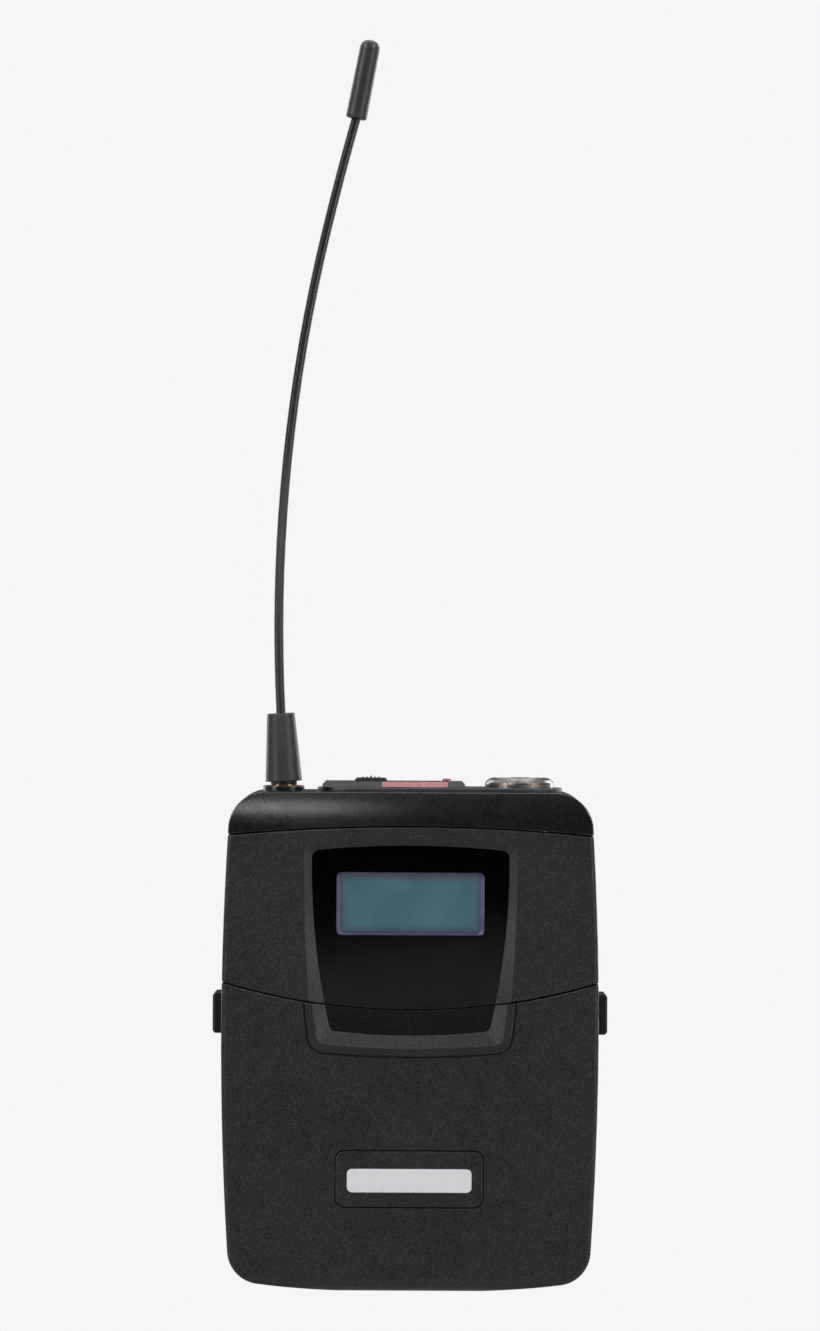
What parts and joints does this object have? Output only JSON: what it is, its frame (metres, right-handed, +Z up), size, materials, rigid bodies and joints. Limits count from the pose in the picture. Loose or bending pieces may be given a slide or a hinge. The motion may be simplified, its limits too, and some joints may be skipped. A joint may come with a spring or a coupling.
{
  "type": "wireless microphone bodypack transmitter",
  "caption": "Belt-worn wireless lavalier microphone transmitter with a whip antenna, screened display, hinged battery door, side latches, roof switch, microphone socket and rear belt clip.",
  "frame": {"origin": "middle of the case's rear face, where the belt clip holds the transmitter", "axes": "+Z up along the whip antenna, the display faces -Y, +X to the right seen from the front"},
  "size_m": [0.0686, 0.0336, 0.2172],
  "materials": {
    "case_plastic": "fine spark texture",
    "cap_plastic": "coarse spark texture, satin",
    "latch_plastic": "satin",
    "platform_plastic": "satin grey-black",
    "inner_plastic": "smooth",
    "button_rubber": "matt grey",
    "inlay_black": "fine matt black",
    "mask_black": "printed gloss black",
    "window_glass": "clear acrylic, polished",
    "lcd_glass": "teal-grey display, satin polariser",
    "lcd_backlight": "blue-violet moulding",
    "board_laminate": "solder mask",
    "chip_black": "moulded",
    "tin_plate": "tinned",
    "spring_steel": "bright wire",
    "cell_sleeve": "printed sleeve, blank",
    "accent_red": "satin red",
    "led_red": "tinted dome",
    "nickel": "satin nickel",
    "gold_pin": "gold flash",
    "brass": "turned",
    "boot_rubber": "satin moulded rubber",
    "whip_coating": "semi-gloss nylon",
    "clip_black": "black oxide, satin",
    "label_grey": "blank label film"
  },
  "bodies": {
    "transmitter": {"rear_housing": "case_plastic", "top_cap": "cap_plastic", "front_cover": "case_plastic", "display_window": "window_glass", "window_mask": "mask_black", "lcd_frame": "lcd_backlight", "lcd_panel": "lcd_glass", "main_board": "board_laminate", "board_components": "chip_black", "rf_shield": "tin_plate", "battery_tray": "inner_plastic", "aa_cell_left": "cell_sleeve", "aa_cell_right": "cell_sleeve", "contact_plates": "tin_plate", "contact_springs": "spring_steel", "button_board": "board_laminate", "door_hinge_pin": "spring_steel", "latch_spring_left": "spring_steel", "latch_spring_right": "spring_steel", "spring_posts": "inner_plastic", "control_plate": "platform_plastic", "switch_platform": "platform_plastic", "accent_strip": "accent_red", "power_switch_body": "platform_plastic", "status_led": "led_red", "mic_connector_shell": "nickel", "mic_connector_insert": "inner_plastic", "mic_connector_pins": "gold_pin", "mic_connector_nut": "nickel", "antenna_socket": "brass", "antenna_collar": "cap_plastic", "antenna_stud": "brass", "antenna_boot": "boot_rubber", "antenna_whip": "whip_coating", "antenna_tip": "boot_rubber", "clip_bracket": "clip_black", "clip_screws": "clip_black", "clip_pin": "spring_steel", "clip_spring": "spring_steel", "case_screws": "clip_black", "rating_label": "label_grey"},
    "door": {"battery_door": "case_plastic", "window_inlay": "inlay_black", "name_plate": "case_plastic", "label_strip": "label_grey"},
    "left_latch": {"latch_left": "latch_plastic"},
    "right_latch": {"latch_right": "latch_plastic"},
    "switch_knob": {"power_switch_knob": "platform_plastic"},
    "up_key": {"up_button": "button_rubber"},
    "down_key": {"down_button": "button_rubber"},
    "set_key": {"set_button": "button_rubber"},
    "clip_tongue": {"belt_clip": "clip_black"}
  },
  "joints": [
    {"name": "door_hinge", "type": "hinge", "parent": "transmitter", "child": "door", "pos_m": [0, -0.0214, -0.0409], "axis": [1, 0, 0], "range_deg": [0, 100]},
    {"name": "left_latch_press", "type": "slide", "parent": "transmitter", "child": "left_latch", "axis": [1, 0, 0], "range_m": [0, 0.0012], "stiffness_N_per_m": 400, "springref_m": -0.001, "deforming": ["latch_spring_left"]},
    {"name": "right_latch_press", "type": "slide", "parent": "transmitter", "child": "right_latch", "axis": [-1, 0, 0], "range_m": [0, 0.0012], "stiffness_N_per_m": 400, "springref_m": -0.001, "deforming": ["latch_spring_right"]},
    {"name": "power_slide", "type": "slide", "parent": "transmitter", "child": "switch_knob", "axis": [-1, 0, 0], "range_m": [0, 0.0035]},
    {"name": "up_press", "type": "slide", "parent": "transmitter", "child": "up_key", "axis": [0, 1, 0], "range_m": [0, 0.0004], "stiffness_N_per_m": 800, "springref_m": -0.0004},
    {"name": "down_press", "type": "slide", "parent": "transmitter", "child": "down_key", "axis": [0, 1, 0], "range_m": [0, 0.0004], "stiffness_N_per_m": 800, "springref_m": -0.0004},
    {"name": "set_press", "type": "slide", "parent": "transmitter", "child": "set_key", "axis": [0, 1, 0], "range_m": [0, 0.0004], "stiffness_N_per_m": 800, "springref_m": -0.0004},
    {"name": "clip_hinge", "type": "hinge", "parent": "transmitter", "child": "clip_tongue", "pos_m": [0, 0.0042, 0.026], "axis": [1, 0, 0], "range_deg": [0, 12], "stiffness_Nm_per_rad": 0.3, "springref_deg": -11.46}
  ]
}
